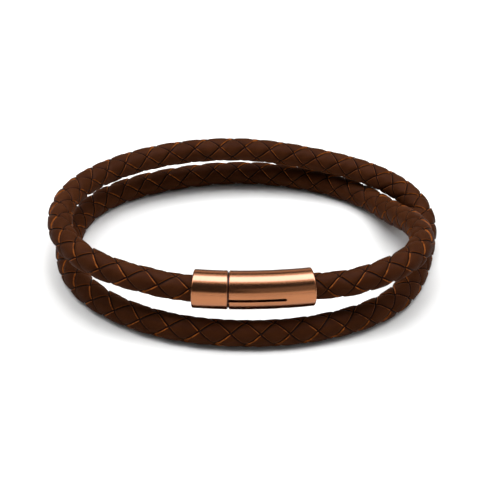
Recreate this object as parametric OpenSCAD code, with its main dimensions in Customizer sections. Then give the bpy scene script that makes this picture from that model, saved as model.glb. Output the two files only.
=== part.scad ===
// Double-wrap bracelet, lying on its side: one round braided leather cord that goes twice round
// the wrist, closed at the front by a two-part tube clasp.
// Millimetres, +Z up. The origin is under the middle of the bracelet, on the surface it lies on;
// -Y is the front, where the clasp is, and +X is to the right as seen from the front.

/* [Cord] */
// Diameter of the braided cord at the sides of the wrist
cord_d = 4; // [3.7:0.05:4]
// Share by which the cord is fuller at the front and leaner at the back
cord_swell = 0.015; // [0:0.005:0.03]
// Length of each cord end that is glued inside the clasp
cord_tuck = 3.3; // [2:0.1:3.4]

/* [Wrap] */
// Half the width of the oval that the lower turn follows, on the cord's centre line
wrap_half_w = 29.6; // [27:0.1:32]
// Half the depth of that oval, from front to back
wrap_half_d = 24.2; // [22:0.1:27]
// Angle round the wrist at which the two turns start to change places
swap_from = 206; // [204:1:208]
// Angle at which they have changed places
swap_to = 301; // [299:1:303]

/* [Clasp] */
// Outer diameter of the clasp
clasp_d = 6; // [5.6:0.1:6.4]
// Length of the short half that carries the plug
collar_len = 5.3; // [4.8:0.1:6]
// Length of the long half that takes the plug
socket_len = 12.8; // [12.6:0.1:14]
// Radius of the gentle bend along the clasp
clasp_bend_r = 60; // [55:1:75]
// Chamfer of the clasp's outer end edges
end_chamfer = 0.4; // [0.2:0.05:0.5]
// Gap at the joint between the two halves
joint_gap = 0.15; // [0.1:0.05:0.2]
// Diameter of the plug
plug_d = 4; // [3.6:0.1:4]
// Length of the plug beyond the joint
plug_len = 4.9; // [4:0.1:6]
// Length of the spring slot along the socket
slot_len = 8.4; // [6:0.1:8.6]
// Width of the spring slot
slot_w = 0.46; // [0.3:0.02:0.5]

/* [Hidden] */
$fn = 96;

// Play round the plug in its chamber, and round each cord end in its bore
play = 0.1;
// Depth of the socket's chamber for the plug
chamber_len = 8.9;
// Chamfer of the edges at the joint
joint_chamfer = 0.12;
// How deep the plug is rooted in the collar
plug_root = 1;
// Where the clasp lies: how far to the right and to the front of the wrap's middle its bend
// reaches furthest forwards, and its height
clasp_x = -1.8;
clasp_out = 22.1;
clasp_z = 8.6;
// Where the joint lies along the clasp's bend, from the point furthest forwards
joint_at = -0.3;

// How the turns lean: a row for each station round the wrist, from the front (0) by the left (90)
// and the back (180) to the right (270). The columns are the station's angle, how far outside the
// oval the lower turn runs, how far outside it the upper turn runs, and the upper turn's height
// above the lower one.
STATIONS = [
    [0, 0, -2.4, 6.3],
    [30, 0.1, -0.65, 7.05],
    [60, 0, 1.25, 7.55],
    [90, -0.4, 0.2, 7.1],
    [120, 0.85, -0.8, 6.4],
    [150, 0.55, -1.65, 6.4],
    [180, 0.75, -1.5, 6.05],
    [210, 0.6, -0.2, 4.8],
    [240, 1.15, -0.05, 4.75],
    [270, -1.6, 0.35, 6.15],
    [300, 0.35, 1.35, 7.35],
    [330, 0.2, -1, 6.4],
];
LOWER_OUT = 1;
UPPER_OUT = 2;
RISE = 3;
station_step = 360 / len(STATIONS);

// Halfway through the change the turns lie side by side: how far the first turn, which comes down,
// moves outwards there, and how far the second one, which goes up, moves inwards
swap_out = 2.15;
swap_in = 2.6;

// The cord is a swept tube: sides of its section, winding angle between rings, and the angle past
// either end of the clasp over which the clasp's bend fades into the wrap
tube_sides = 16;
ring_step = 6;
blend_span = 18;

// Radius of the cord at winding angle w
function cord_r(w) = cord_d / 2 * (1 + cord_swell * cos(w));

// Smooth step from 0 to 1
function ease(t) = let (u = max(0, min(1, t))) u * u * (3 - 2 * u);

// Radius of the oval in the direction of angle a
function oval(a) = wrap_half_w * wrap_half_d
    / sqrt(pow(wrap_half_d * sin(a), 2) + pow(wrap_half_w * cos(a), 2));

// A column of STATIONS at angle a, on a smooth curve through the stations
function row(i, col) = STATIONS[(i + len(STATIONS)) % len(STATIONS)][col];
function lean(a, col) = let (
        u = (a % 360) / station_step,
        i = floor(u),
        t = u - i,
        p0 = row(i - 1, col),
        p1 = row(i, col),
        p2 = row(i + 1, col),
        p3 = row(i + 2, col)
    )
    (2 * p1 + (p2 - p0) * t + (2 * p0 - 5 * p1 + 4 * p2 - p3) * t * t
        + (3 * p1 - p0 - 3 * p2 + p3) * t * t * t) / 2;

// How far the pair of turns has rolled over at angle a, from 0 to 180 degrees
function roll(a) = 180 * ease((a - swap_from) / (swap_to - swap_from));

// Distance from the wrap's middle to the clasp's bend, in the direction of angle a
function bend_dist(a) = let (
        along = -clasp_x * sin(a) - (clasp_bend_r - clasp_out) * cos(a),
        reach2 = pow(clasp_x, 2) + pow(clasp_bend_r - clasp_out, 2)
    )
    along + sqrt(along * along - reach2 + clasp_bend_r * clasp_bend_r);

// Centre line of the cord at winding angle w: 0 to 360 starts at the clasp's left end, on the
// upper level, and 360 to 720 starts on the lower level and ends at the clasp's right end
function wrap_point(w) = let (
        a = w % 360,
        first = w < 360,
        share = (1 + cos(roll(a))) / 2,
        side = sin(roll(a)),
        upper_share = first ? share : 1 - share,
        out = lean(a, UPPER_OUT) * upper_share + lean(a, LOWER_OUT) * (1 - upper_share)
            + (first ? swap_out : -swap_in) * side,
        r = oval(a) + out,
        z = cord_r(w) + lean(a, RISE) * upper_share,
        past_mouth = first ? w - left_mouth_w : 720 - w - right_mouth_w,
        keep = ease(past_mouth / blend_span),
        rr = r * keep + bend_dist(a) * (1 - keep),
        zz = z * keep + clasp_z * (1 - keep)
    )
    [-rr * sin(a), -rr * cos(a), zz];

// Angle along the clasp's bend for a length along it, and the point and direction there
function bend_deg(s) = s / clasp_bend_r * 180 / PI;
function bend_point(s) = [
    clasp_x + clasp_bend_r * sin(bend_deg(s)),
    clasp_bend_r - clasp_out - clasp_bend_r * cos(bend_deg(s)),
    clasp_z
];
function bend_dir(s) = [cos(bend_deg(s)), sin(bend_deg(s)), 0];

// Places along the bend: the two faces at the joint and the two ends
collar_face = joint_at - joint_gap / 2;
socket_face = joint_at + joint_gap / 2;
left_end = collar_face - collar_len;
right_end = socket_face + socket_len;

// How far round from the front the clasp's two ends lie, and the winding angles of the first and
// last ring outside them
left_mouth = bend_point(left_end);
right_mouth = bend_point(right_end);
left_mouth_w = atan2(-left_mouth.x, -left_mouth.y);
right_mouth_w = atan2(right_mouth.x, -right_mouth.y);
clear_of_mouth = 4;
first_w = left_mouth_w + clear_of_mouth;
last_w = 720 - right_mouth_w - clear_of_mouth;

// The whole bracelet is centred over the origin: its reach to each side is that of the turn
// furthest out there, or at the front of the clasp if that lies further out
function reach(w, axis) = abs(wrap_point(w)[axis]) + cord_r(w);
left_reach = max([for (w = [70 : 2 : 110]) reach(w, 0)]);
right_reach = max([for (w = [240 : 2 : 280]) reach(w, 0)]);
back_reach = max([for (w = [520 : 2 : 560]) reach(w, 1)]);
front_reach = max(clasp_out + clasp_d / 2, max([for (w = [340 : 2 : 380]) reach(w, 1)]));
shift = [(left_reach - right_reach) / 2, (back_reach - front_reach) / -2, 0];

// A cord end inside the clasp: two points on the straight line into its bore
function tucked(s, way) = [
    for (depth = [cord_tuck, 0]) bend_point(s) - bend_dir(s) * way * depth
];

// Centre line of the whole cord, from the collar's bore to the socket's bore
ring_count = ceil((last_w - first_w) / ring_step);
cord_line = concat(
    tucked(left_end, -1),
    [for (i = [0 : ring_count]) wrap_point(first_w + (last_w - first_w) * i / ring_count)],
    [for (p = [1, 0]) tucked(right_end, 1)[p]]
);
cord_radii = concat(
    [cord_r(0), cord_r(0)],
    [for (i = [0 : ring_count]) cord_r(first_w + (last_w - first_w) * i / ring_count)],
    [cord_r(0), cord_r(0)]
);

// A ring of the tube square to the centre line at point i, its first corner outwards
function unit(v) = v / norm(v);
function tube_ring(line, radii, i) = let (
        n = len(line),
        along = unit(line[min(i + 1, n - 1)] - line[max(i - 1, 0)]),
        out = unit(cross(along, [0, 0, 1])),
        up = cross(out, along)
    )
    [for (k = [0 : tube_sides - 1]) let (q = 360 * k / tube_sides)
        line[i] + radii[i] * (cos(q) * out + sin(q) * up)];

// Closed tube along a line of points
module tube(line, radii) {
    n = len(line);
    m = tube_sides;
    points = [for (i = [0 : n - 1]) for (p = tube_ring(line, radii, i)) p];
    walls = [for (i = [0 : n - 2]) for (k = [0 : m - 1])
        let (a = i * m + k, b = i * m + (k + 1) % m)
        for (face = [[a, b, a + m], [b, b + m, a + m]]) face];
    first_cap = [for (k = [m - 1 : -1 : 0]) k];
    last_cap = [for (k = [0 : m - 1]) (n - 1) * m + k];
    polyhedron(points, concat([first_cap], walls, [last_cap]), convexity = 10);
}

// Children placed on the clasp's bend at length s: +X runs along it to the right, -Y points out
module on_bend(s) {
    translate([clasp_x, clasp_bend_r - clasp_out, clasp_z])
        rotate([0, 0, bend_deg(s)])
            translate([0, -clasp_bend_r, 0])
                children();
}

// A 2-D shape carried along the bend from length s0 to s1
module along_bend(s0, s1) {
    translate([clasp_x, clasp_bend_r - clasp_out, clasp_z])
        rotate([0, 0, 270 + bend_deg(s0)])
            rotate_extrude(angle = bend_deg(s1 - s0))
                translate([clasp_bend_r, 0])
                    children();
}

// Ring that cuts a chamfer of size c round an end that faces -X
module chamfer_ring(c) {
    past = 0.5;
    rotate([0, 90, 0])
        translate([0, 0, -past])
            difference() {
                cylinder(d = clasp_d + 4 * past, h = c + 2 * past);
                cylinder(d1 = clasp_d - 2 * c - 2 * past, d2 = clasp_d + 2 * past, h = c + 2 * past);
            }
}

// Bent bar of the clasp from length s0 to s1, with a chamfer at either end
module clasp_bar(s0, s1, chamfer0, chamfer1) {
    difference() {
        along_bend(s0, s1)
            circle(d = clasp_d);
        on_bend(s0)
            chamfer_ring(chamfer0);
        on_bend(s1)
            mirror([1, 0, 0])
                chamfer_ring(chamfer1);
    }
}

// Blind bore for a cord end, along +X from a mouth that faces -X
module cord_bore() {
    translate([-1, 0, 0])
        rotate([0, 90, 0])
            cylinder(d = cord_d * (1 + cord_swell) + 2 * play, h = 1 + cord_tuck + play);
}

// Short half: a bent bar with the cord's bore on the left and the plug on the right
module clasp_collar() {
    color("#c07c58")
        translate(shift) {
            difference() {
                clasp_bar(left_end, collar_face, end_chamfer, joint_chamfer);
                on_bend(left_end)
                    cord_bore();
            }
            along_bend(collar_face - plug_root, collar_face + plug_len)
                circle(d = plug_d);
        }
}

// Long half: a bent bar with the plug's chamber and the slot on the left, and the cord's bore
// on the right
module clasp_socket() {
    slot_end = socket_face + slot_len - slot_w / 2;
    color("#c07c58")
        translate(shift)
            difference() {
                clasp_bar(socket_face, right_end, joint_chamfer, end_chamfer);
                along_bend(socket_face - 1, socket_face + chamber_len)
                    circle(d = plug_d + 2 * play);
                along_bend(socket_face - 1, slot_end)
                    translate([clasp_d / 4, -slot_w / 2])
                        square([clasp_d / 2, slot_w]);
                on_bend(slot_end)
                    translate([0, -clasp_d / 4, 0])
                        rotate([90, 0, 0])
                            cylinder(d = slot_w, h = clasp_d / 2);
                on_bend(right_end)
                    mirror([1, 0, 0])
                        cord_bore();
            }
}

// The cord: both turns in one piece
module braided_cord() {
    color("#4a2a1c")
        translate(shift)
            tube(cord_line, cord_radii);
}

braided_cord();
clasp_collar();
clasp_socket();
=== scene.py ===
"""Looks of a double-wrap bracelet: a round cord braided from six leather laces, wound twice round
the wrist and closed by a two-part tube clasp. The file is laid out as an add-on, and is run as a
script.

The shapes are worked out in millimetres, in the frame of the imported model: +Z up, -Y to the front
where the clasp is, +X to the right. They go into the meshes in metres."""
import math

import bmesh
import bpy
import numpy as np
from bpy.props import FloatProperty, FloatVectorProperty, IntProperty, PointerProperty
from mathutils import Matrix, Vector


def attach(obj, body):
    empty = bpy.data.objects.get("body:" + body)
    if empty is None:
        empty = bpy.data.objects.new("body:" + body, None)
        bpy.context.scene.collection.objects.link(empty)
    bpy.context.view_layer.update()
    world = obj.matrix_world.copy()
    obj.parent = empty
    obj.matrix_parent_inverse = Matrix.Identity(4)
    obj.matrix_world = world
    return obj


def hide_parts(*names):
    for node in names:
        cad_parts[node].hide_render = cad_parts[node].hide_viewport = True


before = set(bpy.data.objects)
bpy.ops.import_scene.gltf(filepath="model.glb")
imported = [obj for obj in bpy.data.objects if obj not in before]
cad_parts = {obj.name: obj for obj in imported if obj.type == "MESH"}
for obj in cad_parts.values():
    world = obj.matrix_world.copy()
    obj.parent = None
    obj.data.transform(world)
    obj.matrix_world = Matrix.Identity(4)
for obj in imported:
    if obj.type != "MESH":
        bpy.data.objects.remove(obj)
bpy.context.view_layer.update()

bl_info = {
    "name": "Double-Wrap Braided Bracelet",
    "version": (1, 0, 0),
    "blender": (4, 5, 0),
    "location": "3D View > Sidebar > Bracelet",
    "description": "Builds a braided leather bracelet with a tube clasp, and a plain stage for it",
    "category": "Object",
}

MM = 0.001


# Measures that the pieces share with the CAD model

# Half the width and depth of the oval that the lower turn follows
WRAP_HALF_W = 29.6
WRAP_HALF_D = 24.2
# Angles round the wrist between which the two turns change places, and how far the cord moves out
# on its way down and in on its way up
SWAP_FROM = 206.0
SWAP_TO = 301.0
SWAP_OUT = 2.15
SWAP_IN = 2.6
# The cord: diameter, the share by which it is fuller at the front, the length glued into the clasp,
# and the angle over which the clasp's bend fades into the wrap
CORD_D = 4.0
CORD_SWELL = 0.015
CORD_TUCK = 3.3
BLEND_SPAN = 18.0
# The clasp's bend: its radius, how far right and forwards it lies, its height, and the place and
# width of the joint along it
BEND_R = 60.0
CLASP_X = -1.8
CLASP_OUT = 22.1
CLASP_Z = 8.6
JOINT_AT = -0.3
JOINT_GAP = 0.15
# The clasp's halves: diameter, lengths, the plug and its chamber, the slot, and the play all round
CLASP_D = 6.0
COLLAR_LEN = 5.3
SOCKET_LEN = 12.8
PLUG_LEN = 4.9
PLUG_D = 4.0
CHAMBER_LEN = 8.9
SLOT_LEN = 8.4
PLAY = 0.1

# The braid: laces each way round, how far a lace climbs round the cord from one crossing to the
# next, and the angle from up at which the first crossing starts
LACES_EACH_WAY = 3
CLIMB = math.radians(180 / LACES_EACH_WAY)
BRAID_START = math.radians(64.5)
# How far a lace's face stands proud of the cord, where on its way to the next crossing it starts to
# sink, over what share of the way it does, and how deep the core lies
PROUD = 0.07
SINK_START = 0.25
SINK_SHARE = 0.36
CORE_DEPTH = 0.9

# The clasp's points in a ring, the chamfer at its joint, and the tiny radius of the two rings that
# close the socket's bottoms
CLASP_SIDES = 96
JOINT_CHAMFER = 0.12
POLE_R = 0.01

# How the turns lean, one row for each 30 degrees round the wrist from the front by the left: how
# far outside the oval the lower and the upper turn run, and the upper turn's height over the lower
LEAN = np.array([
    [0.0, -2.4, 6.3],
    [0.1, -0.65, 7.05],
    [0.0, 1.25, 7.55],
    [-0.4, 0.2, 7.1],
    [0.85, -0.8, 6.4],
    [0.55, -1.65, 6.4],
    [0.75, -1.5, 6.05],
    [0.6, -0.2, 4.8],
    [1.15, -0.05, 4.75],
    [-1.6, 0.35, 6.15],
    [0.35, 1.35, 7.35],
    [0.2, -1.0, 6.4],
])

# How the braid lies on the cord, one row for each 45 degrees of winding: how far its crossings have
# slipped along the cord, in crossings, and how far it has rolled round the cord, in degrees
BRAID_DRIFT = np.array([
    [-0.03, -7.0],
    [0.19, -1.0],
    [0.13, 2.0],
    [0.03, 10.0],
    [0.14, 7.0],
    [0.0, 6.0],
    [-1.13, 8.0],
    [-1.63, 10.0],
    [-1.84, -6.0],
    [-1.69, -4.0],
    [-1.86, 18.0],
    [-2.21, 32.0],
    [-2.31, 20.0],
    [-2.51, 34.0],
    [-2.70, 56.0],
    [-3.13, 68.0],
    [-3.42, 70.0],
])


# Route of the cord

def ease(t):
    """Smooth step from 0 to 1: 3 t squared less 2 t cubed, with t kept between 0 and 1."""
    u = np.clip(t, 0, 1)
    return u * u * (3 - 2 * u)


def through(rows, x, closed):
    """Smooth curve through the rows at the places x, counted in rows: a Catmull-Rom cubic in each
    span. A closed table goes round, an open one keeps its end rows."""
    n = len(rows)
    i = np.floor(x).astype(int)
    t = (x - i)[:, None]
    p = [rows[(i + k) % n] if closed else rows[np.clip(i + k, 0, n - 1)] for k in (-1, 0, 1, 2)]
    return 0.5 * (2 * p[1] + (p[2] - p[0]) * t
                  + (2 * p[0] - 5 * p[1] + 4 * p[2] - p[3]) * t ** 2
                  + (3 * p[1] - p[0] - 3 * p[2] + p[3]) * t ** 3)


def cord_radius(w):
    """Radius of the cord at winding angle w: half its diameter, swelling with the cosine of w."""
    return CORD_D / 2 * (1 + CORD_SWELL * np.cos(np.radians(w)))


def bend_point(s):
    """Point at length s along the clasp's bend, a level arc of radius BEND_R."""
    t = np.asarray(s, float) / BEND_R
    return np.stack([CLASP_X + BEND_R * np.sin(t), BEND_R - CLASP_OUT - BEND_R * np.cos(t),
                     np.full_like(t, CLASP_Z)], -1)


def wrap_point(w, left_mouth, right_mouth):
    """Centre line of the cord at winding angle w. The radius is that of the oval plus the turn's
    lean, the height is that of its level, and both fade into the clasp's bend near the mouths."""
    a = w % 360
    ar = np.radians(a)
    first = w < 360
    lower_out, upper_out, rise = through(LEAN, a / 30, True).T
    roll = np.pi * ease((a - SWAP_FROM) / (SWAP_TO - SWAP_FROM))
    share = (1 + np.cos(roll)) / 2
    upper = np.where(first, share, 1 - share)
    oval = WRAP_HALF_W * WRAP_HALF_D / np.hypot(WRAP_HALF_D * np.sin(ar), WRAP_HALF_W * np.cos(ar))
    r = oval + upper_out * upper + lower_out * (1 - upper)
    r = r + np.where(first, SWAP_OUT, -SWAP_IN) * np.sin(roll)
    z = cord_radius(w) + rise * upper
    keep = ease(np.where(first, w - left_mouth, 720 - w - right_mouth) / BLEND_SPAN)
    back = BEND_R - CLASP_OUT
    along = -CLASP_X * np.sin(ar) - back * np.cos(ar)
    bend = along + np.sqrt(along ** 2 - CLASP_X ** 2 - back ** 2 + BEND_R ** 2)
    r = r * keep + bend * (1 - keep)
    z = z * keep + CLASP_Z * (1 - keep)
    return np.stack([-r * np.sin(ar), -r * np.cos(ar), z], -1)


# Places along the clasp's bend: the two faces of the joint and the two ends. Then the radius of the
# cord's bores, and the winding angles of the two mouths
collar_face = JOINT_AT - JOINT_GAP / 2
socket_face = JOINT_AT + JOINT_GAP / 2
left_end = collar_face - COLLAR_LEN
right_end = socket_face + SOCKET_LEN
bore_r = CORD_D * (1 + CORD_SWELL) / 2 + PLAY
left_mouth = math.degrees(math.atan2(-bend_point(left_end)[0], -bend_point(left_end)[1]))
right_mouth = math.degrees(math.atan2(bend_point(right_end)[0], -bend_point(right_end)[1]))


def reach(first, last, axis):
    """How far the cord reaches from the middle along an axis, between two winding angles."""
    w = np.arange(first, last + 1, 2.0)
    return (np.abs(wrap_point(w, left_mouth, right_mouth)[:, axis]) + cord_radius(w)).max()


# The bracelet is centred over the origin
front = max(CLASP_OUT + CLASP_D / 2, reach(340, 380, 1))
centring = np.array([(reach(70, 110, 0) - reach(240, 280, 0)) / 2,
                     (front - reach(520, 560, 1)) / 2, 0])


def cord_route(braid_pitch):
    """The whole cord as a table with a row for each half degree of winding: centre, the directions
    up and out that are square to it, its radius, the number of braid crossings passed, the braid's
    roll, and the length from the first mouth. The ends run on along the clasp's bend into the two
    bores, with a row each 0.2 mm."""
    w = np.arange(left_mouth, 720 - right_mouth, 0.5)
    tuck = np.arange(0.2, CORD_TUCK + 0.01, 0.2)
    centre = np.vstack([bend_point(left_end + tuck[::-1]), wrap_point(w, left_mouth, right_mouth),
                        bend_point(right_end - tuck)]) + centring
    n = len(tuck)
    w = np.concatenate([np.full(n, w[0]), w, np.full(n, w[-1])])
    step = np.linalg.norm(np.diff(centre, axis=0), axis=1)
    s = np.concatenate([[0], np.cumsum(step)]) - CORD_TUCK
    along = np.gradient(centre, s, axis=0)
    along /= np.linalg.norm(along, axis=1)[:, None]
    up = np.array([0, 0, 1.0]) - along * along[:, 2:]
    up /= np.linalg.norm(up, axis=1)[:, None]
    slip, roll = through(BRAID_DRIFT, w / 45, False).T
    radius = cord_radius(w)
    return {"centre": centre, "up": up, "out": np.cross(up, along), "radius": radius,
            "crossing": s / braid_pitch - slip, "roll": np.radians(roll), "length": s}


def along_route(route, key, x):
    """The route at the places x, counted in its column key, by straight interpolation."""
    def column(name):
        c = route[name]
        if c.ndim == 1:
            return np.interp(x, route[key], c)
        return np.stack([np.interp(x, route[key], c[:, k]) for k in range(3)], -1)
    return {name: column(name) for name in ("centre", "up", "out", "radius", "roll")}


# Meshes

def grid_faces(rows, columns, wrap):
    """Quads of a grid of rows by columns, its points numbered row by row. With wrap, the last
    column joins the first."""
    k = np.arange(columns if wrap else columns - 1)
    i = np.arange(rows - 1)[:, None]
    a = i * columns + k
    b = i * columns + (k + 1) % columns
    return np.stack([a, b, b + columns, a + columns], -1).reshape(-1, 4)


def end_fans(rows, columns):
    """Triangles that close the two end rings of a wrapped grid onto the two points after it."""
    k = np.arange(columns)
    following = (k + 1) % columns
    n = rows * columns
    last = n - columns
    return np.vstack([np.stack([np.full(columns, n), following, k], -1),
                      np.stack([np.full(columns, n + 1), k + last, following + last], -1)])


def enclosed(points, faces):
    """Signed volume inside closed faces: positive when they point outwards."""
    total = 0.0
    for k in range(1, faces.shape[1] - 1):
        a, b, c = points[faces[:, 0]], points[faces[:, k]], points[faces[:, k + 1]]
        total += np.einsum("ij,ij->i", a, np.cross(b, c)).sum() / 6
    return total


def finished_piece(name, points, quads, triangles, material, node):
    """A piece from points in millimetres and closed faces, turned so that the faces point outwards,
    with its material, its body and the CAD node that it stands for."""
    quads = np.asarray(quads, int).reshape(-1, 4)
    triangles = np.asarray(triangles, int).reshape(-1, 3)
    inside = enclosed(points, quads) + enclosed(points, triangles)
    if not np.isfinite(inside) or abs(inside) < 1e-6:
        raise RuntimeError(name + " encloses nothing")
    if inside < 0:
        quads, triangles = quads[:, ::-1], triangles[:, ::-1]
    mesh = bpy.data.meshes.new(name)
    mesh.from_pydata((points * MM).tolist(), [], quads.tolist() + triangles.tolist())
    mesh.polygons.foreach_set("use_smooth", np.ones(len(mesh.polygons), bool))
    mesh.update()
    piece = bpy.data.objects.new(name, mesh)
    bpy.context.scene.collection.objects.link(piece)
    piece.data.materials.append(material)
    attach(piece, "root")
    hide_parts(node)
    return piece


# Materials

class Shading:
    """A node material in the making: each call adds a node and returns its output."""

    def __init__(self, name):
        self.material = bpy.data.materials.new(name)
        self.material.use_nodes = True
        self.tree = self.material.node_tree
        self.shader = self.tree.nodes["Principled BSDF"]

    def add(self, kind, inputs=(), output=0, **settings):
        node = self.tree.nodes.new(kind)
        for key, value in settings.items():
            setattr(node, key, value)
        for key, value in dict(inputs).items():
            if isinstance(value, bpy.types.NodeSocket):
                self.tree.links.new(value, node.inputs[key])
            else:
                node.inputs[key].default_value = value
        return node.outputs[output]

    def math(self, operation, a, b=0.0, c=0.0):
        return self.add("ShaderNodeMath", {0: a, 1: b, 2: c}, operation=operation)

    def between(self, x, low, high, to_low=0.0, to_high=1.0):
        """0 below low and 1 above high, or the values to_low and to_high, with a smooth step."""
        return self.add("ShaderNodeMapRange", {0: x, 1: low, 2: high, 3: to_low, 4: to_high},
                        interpolation_type="SMOOTHSTEP")

    def blend(self, share, a, b):
        """Colour a where the share is 0, and b where it is 1."""
        return self.add("ShaderNodeMix", {0: share, 6: a, 7: b}, output=2, data_type="RGBA")

    def noise(self, where, scale, detail, roughness=0.5):
        return self.add("ShaderNodeTexNoise", {"Vector": where, "Scale": scale, "Detail": detail,
                                               "Roughness": roughness})

    def bump(self, height, strength, distance):
        return self.add("ShaderNodeBump", {"Height": height, "Strength": strength,
                                           "Distance": distance})

    def surface(self, **inputs):
        """Sets or links the shader's sockets, and gives the material."""
        names = {"color": "Base Color", "metallic": "Metallic", "roughness": "Roughness",
                 "normal": "Normal", "specular": "Specular IOR Level", "coat": "Coat Weight",
                 "coat_roughness": "Coat Roughness"}
        for key, value in inputs.items():
            if isinstance(value, bpy.types.NodeSocket):
                self.tree.links.new(value, self.shader.inputs[names[key]])
            else:
                self.shader.inputs[names[key]].default_value = value
        return self.material


def rgba(color):
    return (*color, 1.0)


def leather_material(p):
    """Dyed leather of the laces. It reads the lace attribute: millimetres along and across, and how
    near the place is to the crossing at which the lace passes under, from 0 to 1. Across is
    positive on the side whose cut edge shows its raw colour, and negative on the side whose cut
    edge is painted dark as shade. The dyed face ends 1.31 to 1.36 mm from the lace's middle, a
    little wavy with the pores. Painted shade darkens both edges further down, and the lace where
    the next one starts to cover it."""
    m = Shading("braided_leather")
    place = m.add("ShaderNodeAttribute", output=1, attribute_name="lace")
    split = m.tree.nodes.new("ShaderNodeSeparateXYZ")
    m.tree.links.new(place, split.inputs[0])
    across, sunk = split.outputs[1], split.outputs[2]
    on_object = m.add("ShaderNodeTexCoord", output=3)
    cloud = m.noise(on_object, 180.0, 4.0)
    pores = m.noise(place, 7.0, 4.0, 0.65)
    face = m.blend(m.between(cloud, 0.35, 0.7), rgba(p.leather), rgba(p.leather_light))
    face = m.blend(m.math("MULTIPLY", m.between(pores, 0.45, 0.75), 0.45), face,
                   rgba(p.leather_dark))
    side = m.math("ABSOLUTE", across)
    wobble = m.math("MULTIPLY_ADD", pores, 0.08, -0.04)
    edge = m.between(m.math("ADD", side, wobble), 1.31, 1.36)
    fibre = m.noise(place, 1.1, 3.0, 0.6)
    raw = m.blend(m.between(fibre, 0.38, 0.68), rgba(p.edge), rgba(p.edge_fibres_and_shade))
    # Painted shade: the raw edge turns near-black towards the foot of its wall.
    raw = m.blend(m.between(side, 1.50, 1.68), raw, rgba(p.groove_shade))
    # Painted shade: one cut edge of each lace is painted dark all along, and near-black towards its
    # foot.
    shaded_edge = m.blend(m.between(side, 1.40, 1.54), rgba(p.edge_fibres_and_shade), rgba(p.groove_shade))
    edge_tone = m.blend(m.between(across, -0.1, 0.1), shaded_edge, raw)
    color = m.blend(edge, face, edge_tone)
    # Painted shade: the lace turns near-black where the next lace starts to cover it.
    shade = m.between(sunk, 0.42, 0.46)
    color = m.blend(m.math("MULTIPLY", shade, 0.95), color, rgba(p.groove_shade))
    grain = m.noise(place, 16.0, 5.0, 0.6)
    normal = m.bump(grain, 0.6, 0.00004)
    rough = m.between(pores, 0.3, 0.8, 0.5, 0.7)
    return m.surface(color=color, roughness=rough, normal=normal, specular=0.02)


def metal_material(p):
    """Rose-gold plating with a fine satin brushing round the tube. The attribute that marks
    recesses, from 0 to 1, paints shade there: it makes the metal dark, and dull."""
    m = Shading("rose_gold_satin")
    on_object = m.add("ShaderNodeTexCoord", output=3)
    drawn = m.add("ShaderNodeMapping", {"Vector": on_object, "Scale": (6000.0, 2500.0, 2500.0)})
    brush = m.noise(drawn, 1.0, 3.0, 0.6)
    tone = m.noise(on_object, 120.0, 2.0)
    color = m.blend(m.between(tone, 0.3, 0.7), rgba(p.metal), rgba(p.metal_deep))
    # Painted shade: the recesses of the joint, the chamber and the bores are painted dark, and made
    # rougher.
    recess_shade = m.add("ShaderNodeAttribute", output=2, attribute_name="recess_shade")
    color = m.blend(recess_shade, color, rgba(p.recess_shade))
    rough = m.between(brush, 0.3, 0.7, p.polish, p.polish + 0.05)
    rough = m.math("MULTIPLY_ADD", recess_shade, 0.4, rough)
    return m.surface(color=color, metallic=1.0, roughness=rough,
                     normal=m.bump(brush, 0.03, 0.00001), coat=0.5, coat_roughness=0.15)


def plain_material(name, color, roughness):
    """A finish of soft mottling for what mostly lies hidden, and for the floor."""
    m = Shading(name)
    on_object = m.add("ShaderNodeTexCoord", output=3)
    cloud = m.noise(on_object, 60.0, 2.0)
    tone = m.blend(m.math("MULTIPLY", cloud, 0.1), rgba(color), rgba([c * 0.8 for c in color]))
    return m.surface(color=tone, roughness=roughness, specular=0.0)


# Settings

def share_property(name, description, default):
    return FloatProperty(name=name, description=description, default=default, min=0.0, max=1.0,
                         subtype="FACTOR")


def length_property(name, description, default, low, high):
    return FloatProperty(name=name, description=description, default=default * MM, min=low * MM,
                         max=high * MM, unit="LENGTH", subtype="DISTANCE", precision=5)


def color_property(name, description, default):
    return FloatVectorProperty(name=name, description=description, default=default, size=3,
                               min=0.0, max=1.0, subtype="COLOR")


class BraceletBraid(bpy.types.PropertyGroup):
    pitch: length_property("Braid pitch", "Length of cord from one crossing of a row to the next",
                           4.44, 3.5, 6.0)
    dive: length_property("Dive", "How much deeper a lace lies where it passes under",
                          0.32, 0.3, 0.8)
    crown: length_property("Crown", "How much a lace falls off from its middle to its edges",
                           0.08, 0.0, 0.3)
    lace_share: share_property("Lace width", "Share of its place in the braid that a lace fills",
                               0.96)
    rings: IntProperty(name="Rings", description="Rings of points for each crossing of a lace",
                       default=12, min=6, max=16)
    leather: color_property("Leather", "Dyed face of the laces", (0.031, 0.0086, 0.0021))
    leather_light: color_property("Leather, worn", "Lighter clouds in the dye",
                                  (0.042, 0.0122, 0.0033))
    leather_dark: color_property("Leather, pores", "Darker specks of the grain",
                                 (0.017, 0.0047, 0.0014))
    edge: color_property("Cut edge", "Raw edges of the laces", (0.22, 0.060, 0.010))
    # Also the painted shade on the dark side's cut edges, besides the darker fibres of the raw
    # edges.
    edge_fibres_and_shade: color_property("Cut edge, dark", "Darker fibres of the raw edges",
                              (0.085, 0.023, 0.0045))
    # Painted shade: the near-black under the next lace and at the foot of the cut edges; the core
    # takes it too.
    groove_shade: color_property("Groove", "Leather where it goes under the next lace",
                           (0.008, 0.0035, 0.002))


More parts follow.
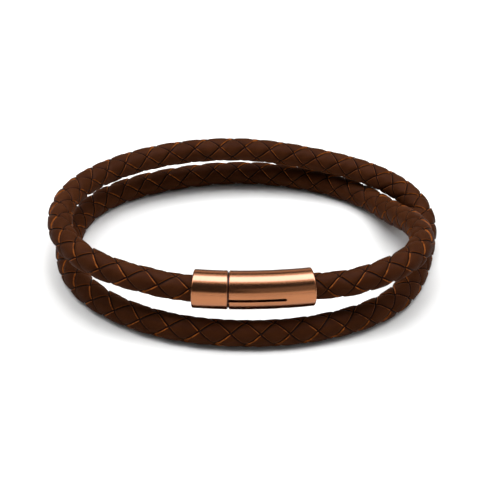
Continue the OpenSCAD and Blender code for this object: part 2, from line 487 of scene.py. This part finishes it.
class BraceletClasp(bpy.types.PropertyGroup):
    mouth_round: length_property("End rounding", "Radius of the clasp's rounded end edges",
                                 0.24, 0.2, 0.7)
    slot_width: length_property("Slot width", "Width of the spring slot", 0.46, 0.2, 0.6)
    metal: color_property("Metal", "Plating", (0.37, 0.136, 0.050))
    metal_deep: color_property("Metal, deep", "Plating where it is a little redder",
                               (0.345, 0.124, 0.044))
    # Painted shade: the dark colour painted into the joint, the chamber and the bores.
    recess_shade: color_property("Recess", "Metal deep in the joint, the chamber and the bores",
                           (0.05, 0.018, 0.008))
    polish: share_property("Polish", "Roughness of the brushed metal", 0.18)


class BraceletStudio(bpy.types.PropertyGroup):
    floor: color_property("Floor", "Pale floor", (0.72, 0.72, 0.72))
    overhead: FloatProperty(name="Overhead light", description="Power of the narrow light box "
                            "above, and twice that of the wide one round it",
                            default=3.7, min=0.0, max=50.0, unit="POWER")
    rear: FloatProperty(name="Rear light", description="Power of the light box behind",
                        default=0.8, min=0.0, max=50.0, unit="POWER")
    side: FloatProperty(name="Side lights", description="Power of each light box at the sides",
                        default=2.1, min=0.0, max=50.0, unit="POWER")
    front: FloatProperty(name="Front light", description="Power of the low light box at the "
                         "front, and twice that of the one at the front right",
                         default=0.9, min=0.0, max=50.0, unit="POWER")
    gloss_tint: FloatVectorProperty(name="Gloss tint", description="Colour of the narrow box above "
                                    "in reflections, which keeps the copper's highlight pale",
                                    default=(0.62, 0.9, 1.48), size=3, min=0.0, max=2.0,
                                    subtype="COLOR")
    ambient: share_property("Ambient", "Even light from all round", 0.05)


# Pieces

def lace_profile(p):
    """Section of a lace as a closed ring, counted from one cut edge over the face to the other and
    back underneath: places across, from -1 to 1, depths under the face, and the running length over
    the face from its middle. The face falls off as the square of the place, the rims are rounded
    over 0.2 mm, the cut edges stand straight, and the underside is flat, half a millimetre down."""
    crown = p.crown / MM
    face = np.array([0.0, 0.22, 0.44, 0.66, 0.83, 0.91])
    rim = crown * face[-1] ** 2
    across = np.concatenate([face, [0.945, 0.975, 1.0, 1.0, 0.88, 0.45]])
    depth = np.concatenate([crown * face ** 2, [rim + 0.025, rim + 0.09, rim + 0.2, rim + 0.32,
                                                0.46, 0.5]])
    width = lace_width(p)
    length = np.concatenate([[0], np.cumsum(np.hypot(np.diff(across) * width / 2, np.diff(depth)))])
    across = np.concatenate([-across[:0:-1], across, [0.0]])
    depth = np.concatenate([depth[:0:-1], depth, [0.5]])
    length = np.concatenate([-length[:0:-1], length, [length[-1]]])
    return across, depth, length


def lace_width(p):
    """Width of a lace: its share of the straight distance from one crossing to the next."""
    return p.lace_share * math.hypot(p.pitch / MM / 2, CLIMB * CORD_D / 2)


def braid_piece(name, at, r, psi, material):
    """A closed tube along the cord, from a grid whose rows are rings: points r from the centre
    line, at angle psi from up to the outside. Each end closes onto the middle of its ring."""
    rows, columns = r.shape
    grid = at["centre"] + r[..., None] * (np.cos(psi)[..., None] * at["up"]
                                          + np.sin(psi)[..., None] * at["out"])
    points = np.vstack([grid.reshape(-1, 3), grid[0].mean(0), grid[-1].mean(0)])
    return finished_piece(name, points, grid_faces(rows, columns, True), end_fans(rows, columns),
                          material, "braided_cord")


def lace(p, way, number, material):
    """One lace from end to end of the cord. For each crossing, t, it climbs round the cord by 60
    degrees and along it by half a pitch, to one side or the other as way is 1 or -1. Its radius is
    the cord's, plus what it stands proud, less its depth in the section and less what it sinks: it
    lies level over one crossing, and from a quarter of the way to the next it sinks by the dive,
    with a smooth step. The lace attribute holds the millimetres along and across, and how near each
    point is to the crossing at which the lace passes under."""
    route = cord_route(p.pitch / MM)
    across, depth, over = lace_profile(p)
    half = 0.5 * p.lace_share
    ends = 2 * route["crossing"][[0, -1]] - 1 - number
    first = math.ceil((ends[0] + half) * p.rings)
    last = math.floor((ends[1] - half) * p.rings)
    t = np.arange(first, last + 1)[:, None] / p.rings
    v = across[None, :] * half
    crossing = (t + number + v + 1) / 2
    at = along_route(route, "crossing", crossing)
    psi = BRAID_START + at["roll"] + way * CLIMB * (t - number - v)
    near = 1 - np.abs((t - number + (way > 0)) % 2 - 1)
    sunk = ease((near - SINK_START) / SINK_SHARE)
    r = at["radius"] + PROUD - sunk * p.dive / MM - depth
    name = "lace_%s_%d" % ("rising" if way > 0 else "falling", number + 1)
    piece = braid_piece(name, at, r, psi, material)
    place = np.stack(np.broadcast_arrays(t * lace_width(p) / p.lace_share, way * over[None, :],
                                         near), -1)
    place = np.vstack([place.reshape(-1, 3), place[0, 0], place[-1, 0]])
    attribute = piece.data.attributes.new("lace", "FLOAT_VECTOR", "POINT")
    attribute.data.foreach_set("vector", place.astype(np.float32).ravel())
    return piece


def core(p, material):
    """Round core that the laces are braided over: a tube of the cord's radius less its depth, which
    stops just short of the cord's ends."""
    rings, sides, short = 420, 14, 0.2
    route = cord_route(p.pitch / MM)
    s = np.linspace(route["length"][0] + short, route["length"][-1] - short, rings)[:, None]
    at = along_route(route, "length", s + np.zeros((1, sides)))
    psi = np.arange(sides)[None, :] * 2 * np.pi / sides
    r = at["radius"] - CORE_DEPTH
    return braid_piece("cord_core", at, r, psi, material)


def on_bend(s, r, psi):
    """Point at length s along the clasp's bend, r from its axis, at angle psi from up to front."""
    t = s / BEND_R
    out = np.stack([np.sin(t), -np.cos(t), np.zeros_like(t)], -1)
    up = np.array([0, 0, 1.0])
    return (bend_point(s) + centring + (r * np.cos(psi))[..., None] * up
            + (r * np.sin(psi))[..., None] * out)


def quarter(s0, r0, s1, r1, steps=7):
    """Quarter ellipse between two places of a profile: it leaves the first one across the axis and
    reaches the second one along it."""
    q = np.linspace(0, np.pi / 2, steps)
    return np.stack([s0 + (s1 - s0) * (1 - np.cos(q)), r0 + (r1 - r0) * np.sin(q)], -1)


def straight(s0, s1, r, spacing=0.4):
    """Even steps along the axis at radius r."""
    n = max(2, int(abs(s1 - s0) / spacing) + 1)
    return np.stack([np.linspace(s0, s1, n), np.full(n, r)], -1)


def turned(name, profile, material, node):
    """A profile of lengths and radii turned round the clasp's bend, closed at its two poles."""
    n = CLASP_SIDES
    psi = np.arange(n)[None, :] * 2 * np.pi / n
    ring = profile[1:-1]
    s, r = (np.broadcast_to(ring[:, k:k + 1], (len(ring), n)) for k in (0, 1))
    points = on_bend(s, r, np.broadcast_to(psi, s.shape)).reshape(-1, 3)
    poles = on_bend(profile[[0, -1], 0], np.zeros(2), np.zeros(2))
    return finished_piece(name, np.vstack([points, poles]), grid_faces(len(ring), n, True),
                          end_fans(len(ring), n), material, node)


def paint_recess_shade(piece, deep):
    """Marks each point as in a recess, 1, or outside, 0, for the metal's painted shade."""
    attribute = piece.data.attributes.new("recess_shade", "FLOAT", "POINT")
    attribute.data.foreach_set("value", np.asarray(deep, np.float32))


def edge_finish(piece, width):
    """Corners of more than 32 degrees shade sharp, and a bevel of the given width in millimetres
    rounds those of more than 40."""
    piece.data.set_sharp_from_angle(angle=math.radians(32))
    bevel = piece.modifiers.new("edges", "BEVEL")
    bevel.width = width * MM
    bevel.segments = 2
    bevel.limit_method = "ANGLE"
    bevel.angle_limit = math.radians(40)
    bevel.harden_normals = True


def collar(p, material):
    """Short half of the clasp: from the bottom of the cord's bore over the rounded end and the
    outside to the joint, and on over the low seat that fills the joint and over the plug."""
    outer = CLASP_D / 2
    bore_end = left_end + CORD_TUCK + PLAY
    seat, seat_r = collar_face + JOINT_GAP - 0.02, outer - 0.3
    plug_end, plug_r, plug_chamfer = collar_face + PLUG_LEN, PLUG_D / 2, 0.3
    rounding = p.mouth_round / MM
    profile = np.vstack([
        [[bore_end, 0.0]],
        straight(bore_end, left_end, bore_r),
        quarter(left_end, outer - rounding, left_end + rounding, outer),
        straight(left_end + rounding + 0.1, collar_face - JOINT_CHAMFER, outer),
        [[collar_face, outer - JOINT_CHAMFER], [collar_face, seat_r]],
        [[seat, seat_r], [seat, plug_r + 0.05]],
        straight(seat + 0.05, plug_end - plug_chamfer, plug_r),
        [[plug_end, plug_r - plug_chamfer], [plug_end, 0.0]],
    ])
    piece = turned("clasp_collar_shell", profile, material, "clasp_collar")
    s, r = profile[1:-1].T
    # Painted shade goes on the joint with the start of the plug, and on the bore with its bottom,
    # the first pole. The plug's end, the second pole, gets none.
    in_joint = (s >= collar_face) & (s < collar_face + 0.6)
    in_bore = (r <= bore_r) & (s <= bore_end)
    paint_recess_shade(piece, np.concatenate([np.repeat(in_joint | in_bore, CLASP_SIDES), [1, 0]]))
    edge_finish(piece, 0.05)
    return piece


def socket(p, material):
    """Long half of the clasp: from the bottom of the plug's chamber over the joint, the outside and
    the rounded end to the bottom of the cord's bore. The ring of each place along it starts and
    ends at the slot, which narrows to nothing past its round end, and two walls join the outside
    to the chamber along the slot's sides."""
    outer = CLASP_D / 2
    inner = PLUG_D / 2 + PLAY
    bore_end = right_end - CORD_TUCK - PLAY
    rounding = p.mouth_round / MM
    half_slot = p.slot_width / MM / 2
    slot_end = socket_face + SLOT_LEN - half_slot
    tip = half_slot * np.sin(np.linspace(0, np.pi / 2, 8))
    s_slot = np.concatenate([[socket_face, socket_face + JOINT_CHAMFER],
                             np.linspace(socket_face + 0.5, slot_end - 0.4, 18), slot_end + tip])
    count = len(s_slot)
    r_slot = np.concatenate([[outer - JOINT_CHAMFER], np.full(count - 1, outer)])
    chamber_end = socket_face + CHAMBER_LEN
    profile = np.vstack([
        [[chamber_end, POLE_R], [chamber_end, inner]],
        np.stack([s_slot[::-1], np.full(count, inner)], -1),
        np.stack([s_slot, r_slot], -1),
        straight(slot_end + half_slot + 0.3, right_end - rounding - 0.1, outer),
        quarter(right_end, outer - rounding, right_end - rounding, outer)[::-1],
        straight(right_end, bore_end, bore_r),
        [[bore_end, POLE_R]],
    ])
    # Half the slot's width at each place of the profile: whole up to its end's centre, then as the
    # height of a circle over the distance past it, and none where the profile has no slot
    past = profile[:, 0] - slot_end
    open_half = np.where(past <= 0, half_slot, np.sqrt(np.clip(half_slot ** 2 - past ** 2, 0, 1)))
    open_half[:2] = 0
    open_half[2 + 2 * count:] = 0
    open_half[np.isclose(profile[:, 0], slot_end + half_slot)] = 0
    n = CLASP_SIDES + 1
    f = np.linspace(0, 1, n)
    gap = np.arcsin(open_half / np.maximum(profile[:, 1], 0.05))[:, None]
    psi = np.pi / 2 + gap + (2 * np.pi - 2 * gap) * f[None, :]
    s = np.broadcast_to(profile[:, :1], psi.shape)
    r = np.broadcast_to(profile[:, 1:], psi.shape)
    points = on_bend(s, r, psi)
    faces = [grid_faces(len(profile), n, False)]
    chamber = 2 + np.arange(count)[::-1]
    outside = 2 + count + np.arange(count)
    for column, flip in ((0, 1), (n - 1, -1)):
        a, b = chamber * n + column, outside * n + column
        wall = np.stack([a[:-1], b[:-1], b[1:], a[1:]], -1)
        faces.append(wall[:, ::flip])
    faces = np.vstack(faces)
    piece = finished_piece("clasp_socket_shell", points.reshape(-1, 3), faces, [], material,
                           "clasp_socket")
    # Painted shade in the chamber and the bores.
    paint_recess_shade(piece, np.repeat(profile[:, 1] <= bore_r, n))
    join_seams(piece)
    edge_finish(piece, 0.07)
    return piece


def join_seams(piece):
    """Points that fall together become one, faces that shrink to nothing go, and the open rings at
    the two poles are filled."""
    shape = bmesh.new()
    shape.from_mesh(piece.data)
    bmesh.ops.remove_doubles(shape, verts=shape.verts, dist=0.002 * MM)
    bmesh.ops.dissolve_degenerate(shape, edges=shape.edges, dist=0.001 * MM)
    open_edges = [e for e in shape.edges if e.is_boundary]
    if open_edges:
        bmesh.ops.holes_fill(shape, edges=open_edges, sides=0)
    bmesh.ops.recalc_face_normals(shape, faces=shape.faces)
    if any(not e.is_manifold for e in shape.edges):
        raise RuntimeError(piece.name + " isn't closed")
    for face in shape.faces:
        face.smooth = True
    shape.to_mesh(piece.data)
    shape.free()


# Stage

def light_box(name, power, size, place, aim, color=(1.0, 1.0, 1.0)):
    """A rectangular area light at a place, facing the point aim."""
    data = bpy.data.lights.new(name, "AREA")
    data.energy = power
    data.shape = "RECTANGLE"
    data.size, data.size_y = size
    data.color = color
    light = bpy.data.objects.new(name, data)
    light.location = place
    light.rotation_euler = (Vector(aim) - Vector(place)).to_track_quat("-Z", "Y").to_euler()
    bpy.context.scene.collection.objects.link(light)
    return light


def camera():
    """Camera at the photograph's angle above the floor, rolled by nearly a degree. The lens follows
    from the focal length in pixels of a picture 500 pixels wide."""
    elevation, roll, distance = math.radians(33), math.radians(0.953), 240.5
    focal_length, picture_width = 1445, 500
    target = Vector((1.07, -0.79, 2.03)) + Vector(centring)
    back = Vector((0, -math.cos(elevation), math.sin(elevation)))
    right = Vector((1, 0, 0))
    up = Vector((0, math.sin(elevation), math.cos(elevation)))
    side = right * math.cos(roll) + up * math.sin(roll)
    top = up * math.cos(roll) - right * math.sin(roll)
    data = bpy.data.cameras.new("view")
    data.sensor_width = 36
    data.lens = focal_length / picture_width * data.sensor_width
    data.sensor_fit = "HORIZONTAL"
    data.clip_start = 0.01
    eye = bpy.data.objects.new("view", data)
    rotation = Matrix((side, top, back)).transposed()
    eye.matrix_world = Matrix.Translation((target + back * distance) * MM) @ rotation.to_4x4()
    bpy.context.scene.collection.objects.link(eye)
    bpy.context.scene.camera = eye


def stage(p):
    """A wide pale floor, light boxes above, behind, at the sides and in front, and an even world.
    The narrow box above is made twice, one just under the other: the first lights the floor and
    the leather, and the second is seen only in the clasp's gloss."""
    half_side, n = 3.0, 9
    x = np.linspace(-half_side, half_side, n)
    points = np.stack([*np.meshgrid(x, x), np.zeros((n, n))], -1).reshape(-1, 3)
    mesh = bpy.data.meshes.new("floor")
    mesh.from_pydata(points.tolist(), [], grid_faces(n, n, False).tolist())
    floor = bpy.data.objects.new("floor", mesh)
    bpy.context.scene.collection.objects.link(floor)
    floor.data.materials.append(plain_material("pale_floor", p.floor, 0.7))
    light_box("overhead", p.overhead / 2, (0.8, 0.55), (0.0, 0.105, 0.45), (0, 0.105, 0))
    narrow = (0.8, 0.27)
    lit = light_box("overhead_core", p.overhead, narrow, (0.0, 0.055, 0.44), (0, 0.055, 0))
    lit.visible_glossy = False
    seen = light_box("gloss_core", p.overhead, narrow, (0.0, 0.055, 0.43), (0, 0.055, 0),
                     p.gloss_tint)
    seen.visible_diffuse = False
    light_box("rear", p.rear, (1.2, 0.3), (0.0, 0.7, 0.3), (0, 0, 0), (1.0, 0.74, 0.54))
    light_box("left", p.side, (0.6, 0.6), (-0.7, 0.0, 0.65), (0, 0, 0))
    light_box("right", p.side, (0.6, 0.6), (0.7, 0.0, 0.65), (0, 0, 0))
    light_box("front", p.front, (1.2, 0.2), (0.0, -0.8, 0.1), (0, 0, 0))
    light_box("front_right", p.front / 2, (0.8, 0.55), (0.43, -0.8, 0.47), (0, 0, 0))
    world = bpy.data.worlds.new("studio")
    world.use_nodes = True
    background = world.node_tree.nodes["Background"]
    background.inputs["Color"].default_value = (1, 1, 1, 1)
    background.inputs["Strength"].default_value = p.ambient
    bpy.context.scene.world = world
    bpy.context.scene.view_settings.view_transform = "Standard"


# Operators

class BRACELET_OT_braid(bpy.types.Operator):
    """Braids the cord: six laces, three each way, over a round core"""
    bl_idname = "bracelet.braid"
    bl_label = "Braided cord"

    def execute(self, context):
        p = context.scene.bracelet_braid
        leather = leather_material(p)
        for way in (1, -1):
            for number in range(LACES_EACH_WAY):
                lace(p, way, number, leather)
        # The core is coloured with the near-black of the painted groove shade.
        core(p, plain_material("core_thread", p.groove_shade, 0.9))
        return {"FINISHED"}


class BRACELET_OT_clasp(bpy.types.Operator):
    """Makes the clasp: the collar with its plug, and the socket with its slot"""
    bl_idname = "bracelet.clasp"
    bl_label = "Tube clasp"

    def execute(self, context):
        p = context.scene.bracelet_clasp
        metal = metal_material(p)
        collar(p, metal)
        socket(p, metal)
        return {"FINISHED"}


class BRACELET_OT_stage(bpy.types.Operator):
    """Sets up the pale floor, the studio light and the camera"""
    bl_idname = "bracelet.stage"
    bl_label = "Stage and camera"

    def execute(self, context):
        stage(context.scene.bracelet_studio)
        camera()
        return {"FINISHED"}


class BRACELET_PT_panel(bpy.types.Panel):
    """Lists the pieces with their settings"""
    bl_idname = "BRACELET_PT_panel"
    bl_label = "Bracelet"
    bl_space_type = "VIEW_3D"
    bl_region_type = "UI"
    bl_category = "Bracelet"

    def draw(self, context):
        for operator, group in (("bracelet.braid", context.scene.bracelet_braid),
                                ("bracelet.clasp", context.scene.bracelet_clasp),
                                ("bracelet.stage", context.scene.bracelet_studio)):
            box = self.layout.box()
            box.operator(operator)
            for name in group.__annotations__:
                box.prop(group, name)


CLASSES = (BraceletBraid, BraceletClasp, BraceletStudio, BRACELET_OT_braid, BRACELET_OT_clasp,
           BRACELET_OT_stage, BRACELET_PT_panel)


def register():
    for c in CLASSES:
        bpy.utils.register_class(c)
    bpy.types.Scene.bracelet_braid = PointerProperty(type=BraceletBraid)
    bpy.types.Scene.bracelet_clasp = PointerProperty(type=BraceletClasp)
    bpy.types.Scene.bracelet_studio = PointerProperty(type=BraceletStudio)


def unregister():
    del bpy.types.Scene.bracelet_studio
    del bpy.types.Scene.bracelet_clasp
    del bpy.types.Scene.bracelet_braid
    for c in reversed(CLASSES):
        bpy.utils.unregister_class(c)


def main():
    register()
    bpy.ops.bracelet.braid()
    bpy.ops.bracelet.clasp()
    bpy.ops.bracelet.stage()


if __name__ == "__main__":
    main()
